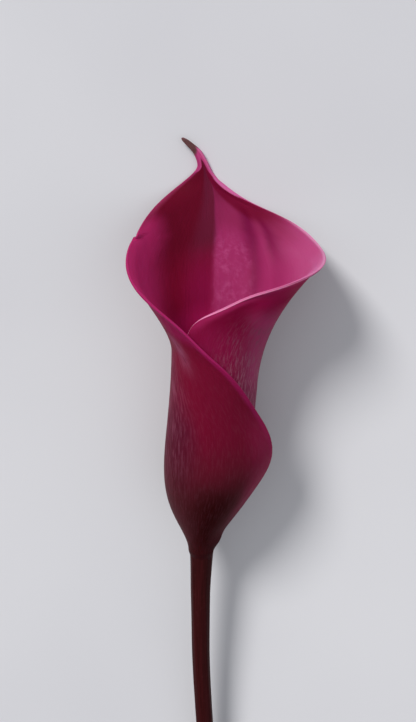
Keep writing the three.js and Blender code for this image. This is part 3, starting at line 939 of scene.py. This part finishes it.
def flared_stem(y):
    return STEM_RADIUS + STEM_TOP_FLARE * math.exp(y / STEM_FLARE_LENGTH)


def foot_loops(base):
    """Loops below the leaf's base that draw in to the stem and sink into it, the lowest first."""
    arm = np.hypot(base[:, 0], base[:, 2])
    loops = []
    for k in range(COLLAR["rows"], 0, -1):
        share = k / COLLAR["rows"]
        below = COLLAR["depth"] * share
        drawn = lerp(arm, np.minimum(arm, flared_stem(-below) - COLLAR["sink"]), float(smooth(share)))
        drawn /= arm
        loops.append(np.stack([base[:, 0] * drawn, base[:, 1] - below, base[:, 2] * drawn], -1))
    return np.array(loops)


def spathe():
    """Both skins of the leaf, joined by rounded rims and grown together with the stem at its foot."""
    columns = crowded_columns()
    along, across = np.meshgrid(np.linspace(0, 1, SPATHE_ROWS + 1), columns, indexing="ij")
    middle = leaf_middle(across, along)
    normal = normals_of(leaf_middle, across, along)
    half_wall = wall_thickness(across, along)[..., None] / 2
    outer = above_table(middle + normal * half_wall, 0)
    inner = above_table(middle - normal * half_wall, PRESSED_WALL, PRESS_SOFTNESS)

    def rim(side, inwards):
        outwards = middle[:, side] - middle[:, inwards]
        outwards /= np.linalg.norm(outwards, axis=-1, keepdims=True)
        centre = (outer[:, side] + inner[:, side]) / 2
        arm = (outer[:, side] - inner[:, side]) / 2
        bulge = outwards * np.linalg.norm(arm, axis=-1, keepdims=True) * RIM_BULGE
        angles = np.linspace(0, math.pi, RIM_STEPS + 2)[1:-1]
        return np.stack([centre + arm * math.cos(a) + bulge * math.sin(a) for a in angles], 1)

    left_rim, right_rim = rim(-1, -2), rim(0, 1)[:, ::-1]
    loops = np.concatenate([outer, left_rim, inner[:, ::-1], right_rim], 1)
    inset, _ = margin_inset(across, along)
    ones = np.ones((SPATHE_ROWS + 1, RIM_STEPS))

    def round_loop(values, left, right):
        return np.concatenate([values, left, values[:, ::-1], right], 1)

    surface = {"across": across, "along": along, "edge": inset}
    surface.update(face_zones(across, along, inset))
    surface.update(back_zones(across, along, inset))
    values = {k: round_loop(v, ones * v[:, -1:], ones * v[:, :1]) for k, v in surface.items()}
    zero = np.zeros_like(across)
    half = np.tile(np.linspace(*RIM_INSIDE, RIM_STEPS), (SPATHE_ROWS + 1, 1))
    values["inside"] = np.concatenate([zero, half, zero + 1, half[:, ::-1]], 1)

    loops = np.concatenate([foot_loops(loops[0]), loops])
    values = {k: np.concatenate([np.repeat(v[:1], COLLAR["rows"], 0), v]) for k, v in values.items()}
    rings, count = loops.shape[:2]
    faces = loop_faces(rings, count)

    # Both ends are closed by zipping the outer skin to the inner one
    outer_last = SPATHE_COLUMNS
    inner_last = outer_last + RIM_STEPS + 1 + SPATHE_COLUMNS
    for ring, turned in ((0, True), (rings - 1, False)):
        ends = [ring * count + j for j in range(count)]
        lids = []
        for j in range(SPATHE_COLUMNS):
            lids.append((ends[j], ends[j + 1], ends[inner_last - j - 1], ends[inner_last - j]))
        for first in (outer_last, inner_last):
            lids.append(tuple(ends[(first + k) % count] for k in range(RIM_STEPS + 2)))
        faces += [lid[::-1] if turned else lid for lid in lids]
    add_piece("fine_spathe", loops.reshape(-1, 3), faces, "spathe", spathe_material(), values)


def stem():
    """The stalk, fluted a little, with a rounded and hollowed cut at its lower end."""
    angles = np.linspace(0, 2 * np.pi, STEM_SIDES, endpoint=False)
    ys = np.linspace(-STEM_LENGTH, STEM_TOP["end"], STEM_STEPS + 1)
    rings = []
    for share in CUT_RINGS:
        hollow = CUT_HOLLOW * (1 - share ** 2)
        rings.append((ys[0] + hollow, share * (STEM_RADIUS - CUT_ROUNDING), 1))
    for angle in np.radians(CUT_EDGE_ANGLES):
        y = ys[0] + CUT_ROUNDING * (1 - math.cos(angle))
        radius = STEM_RADIUS - CUT_ROUNDING * (1 - math.sin(angle))
        rings.append((y, radius, 1 if angle == 0 else 0))
    for y in ys[1:]:
        narrowed = float(between(y, STEM_TOP["narrow_from"], STEM_TOP["end"]))
        rings.append((y, lerp(flared_stem(y), STEM_TOP["radius"], narrowed), 0))
    rings.append((ys[-1], CLOSED_RADIUS, 0))
    loops = []
    for y, radius, is_cut in rings:
        flute = STEM_FLUTES["depth"] * np.sin(STEM_FLUTES["count"] * (angles + STEM_FLUTES["drift"] * y))
        around = radius + (0 if is_cut else flute * min(radius, 1))
        x, z = around * np.cos(angles), -around * np.sin(angles)
        loops.append(np.stack([x + stem_middle(y), np.full(STEM_SIDES, y), z], -1))
    loops = above_table(np.array(loops), 0)
    faces = closed_faces(len(loops), STEM_SIDES)
    values = {
        "turn": np.tile(np.degrees(angles), len(loops)),
        "height": np.repeat([ring[0] for ring in rings], STEM_SIDES),
        "cut": np.repeat([ring[2] for ring in rings], STEM_SIDES),
    }
    add_piece("fine_stem", loops.reshape(-1, 3), faces, "stem", stem_material(), values)


def spadix_radius(y):
    share = (y - SPADIX["bottom"]) / (SPADIX["top"] - SPADIX["bottom"])
    foot = lerp(SPADIX["foot_share"], 1, smooth(share / SPADIX["foot_length"]))
    into_cap = np.maximum(1 - (SPADIX["top"] - y) / SPADIX["cap"], 0)
    cap = np.sqrt(np.maximum(1 - SPADIX["blunt"] * into_cap ** 2, 0))
    waist = SPADIX_WAIST["depth"] * bell((y - SPADIX_WAIST["height"]) / SPADIX_WAIST["length"])
    return (SPADIX["radius"] - SPADIX["taper"] * share - waist) * foot * cap


def spadix():
    """The spike, with a domed and dimpled floret at every place of a staggered lattice."""
    sides = FLORETS["around"] * FLORETS["sides"]
    steps = FLORETS["rings"] * FLORETS["steps"]
    ring, side = np.meshgrid(np.arange(steps + 1) / FLORETS["steps"], np.arange(sides) / FLORETS["sides"],
                             indexing="ij")
    y = lerp(SPADIX["bottom"], SPADIX["top"], ring / FLORETS["rings"])
    nearest = np.full(ring.shape, np.inf)
    for row in (np.floor(ring), np.floor(ring) + 1):
        shift = (row % 2) / 2
        across = (side - shift + 0.5) % 1 - 0.5
        place = row * SHUFFLE[0] + np.round(side - shift) % FLORETS["around"] * SHUFFLE[1]
        apart = np.hypot(across * FLORET["across"], (ring - row) * FLORET["along"])
        nearest = np.minimum(nearest, apart * (1 + FLORET["uneven"] * np.sin(place)))
    dome = np.sqrt(np.maximum(1 - (nearest / FLORET["radius"]) ** 2, 0))
    dimple = FLORET["dimple"] * bell(nearest / FLORET["dimple_radius"])
    bare, length = BARE_ENDS["rings"], BARE_ENDS["length"]
    ends = smooth((ring - bare) / length) * smooth((FLORETS["rings"] - bare - ring) / length)
    radius = spadix_radius(y) + FLORETS["relief"] * (dome - dimple) * ends
    angle = side / FLORETS["around"] * 2 * np.pi
    loops = np.stack([axis_offset(y) + radius * np.cos(angle), y, -radius * np.sin(angle)], -1)
    faces = closed_faces(steps + 1, sides)
    values = {"height": y, "crown": dome * ends + 1 - ends}
    add_piece("fine_spadix", loops.reshape(-1, 3), faces, "spadix", spadix_material(), values)


def camera():
    base = lay_down @ Vector((0, 0, 0))
    turned = Matrix.Rotation(-CAMERA_TILT, 3, "X")
    offset = Vector((
        (PHOTO_WIDTH / 2 - BASE_PIXEL_X) * MM_PER_PIXEL,
        (BASE_PIXEL_Y - PHOTO_HEIGHT / 2) * MM_PER_PIXEL,
        CAMERA_DISTANCE))
    data = bpy.data.cameras.new("camera")
    data.sensor_fit = "VERTICAL"
    data.sensor_height = SENSOR_HEIGHT
    data.lens = SENSOR_HEIGHT * CAMERA_DISTANCE / (MM_PER_PIXEL * PHOTO_HEIGHT)
    data.clip_start = 0.01
    placed = bpy.data.objects.new("camera", data)
    placed.location = base + turned @ offset * MM
    placed.rotation_euler = (-CAMERA_TILT, 0, 0)
    bpy.context.scene.collection.objects.link(placed)
    bpy.context.scene.camera = placed


def far_light(name, direction, strength, angle, colour):
    """A light from far away, as soft as a window that fills this angle."""
    data = bpy.data.lights.new(name, "SUN")
    data.energy = strength
    data.angle = math.radians(angle)
    data.color = colour
    lamp = bpy.data.objects.new(name, data)
    lamp.location = direction
    lamp.rotation_euler = Vector(direction).to_track_quat("Z", "Y").to_euler()
    bpy.context.scene.collection.objects.link(lamp)


def floor():
    mesh = bpy.data.meshes.new("floor")
    corners = [(x * FLOOR_REACH, y * FLOOR_REACH, 0) for x, y in ((-1, -1), (1, -1), (1, 1), (-1, 1))]
    mesh.from_pydata(corners, [], [(0, 1, 2, 3)])
    mesh.materials.append(floor_material())
    board = bpy.data.objects.new("floor", mesh)
    bpy.context.scene.collection.objects.link(board)


def world():
    sky = bpy.data.worlds.new("soft_room")
    sky.use_nodes = True
    background = sky.node_tree.nodes["Background"]
    background.inputs["Color"].default_value = linear("DADCE0")
    background.inputs["Strength"].default_value = SKY_STRENGTH
    bpy.context.scene.world = sky


camera()
spathe()
stem()
spadix()
floor()
world()
for light in LIGHTS:
    far_light(**light)
bpy.context.scene.view_settings.view_transform = "Standard"
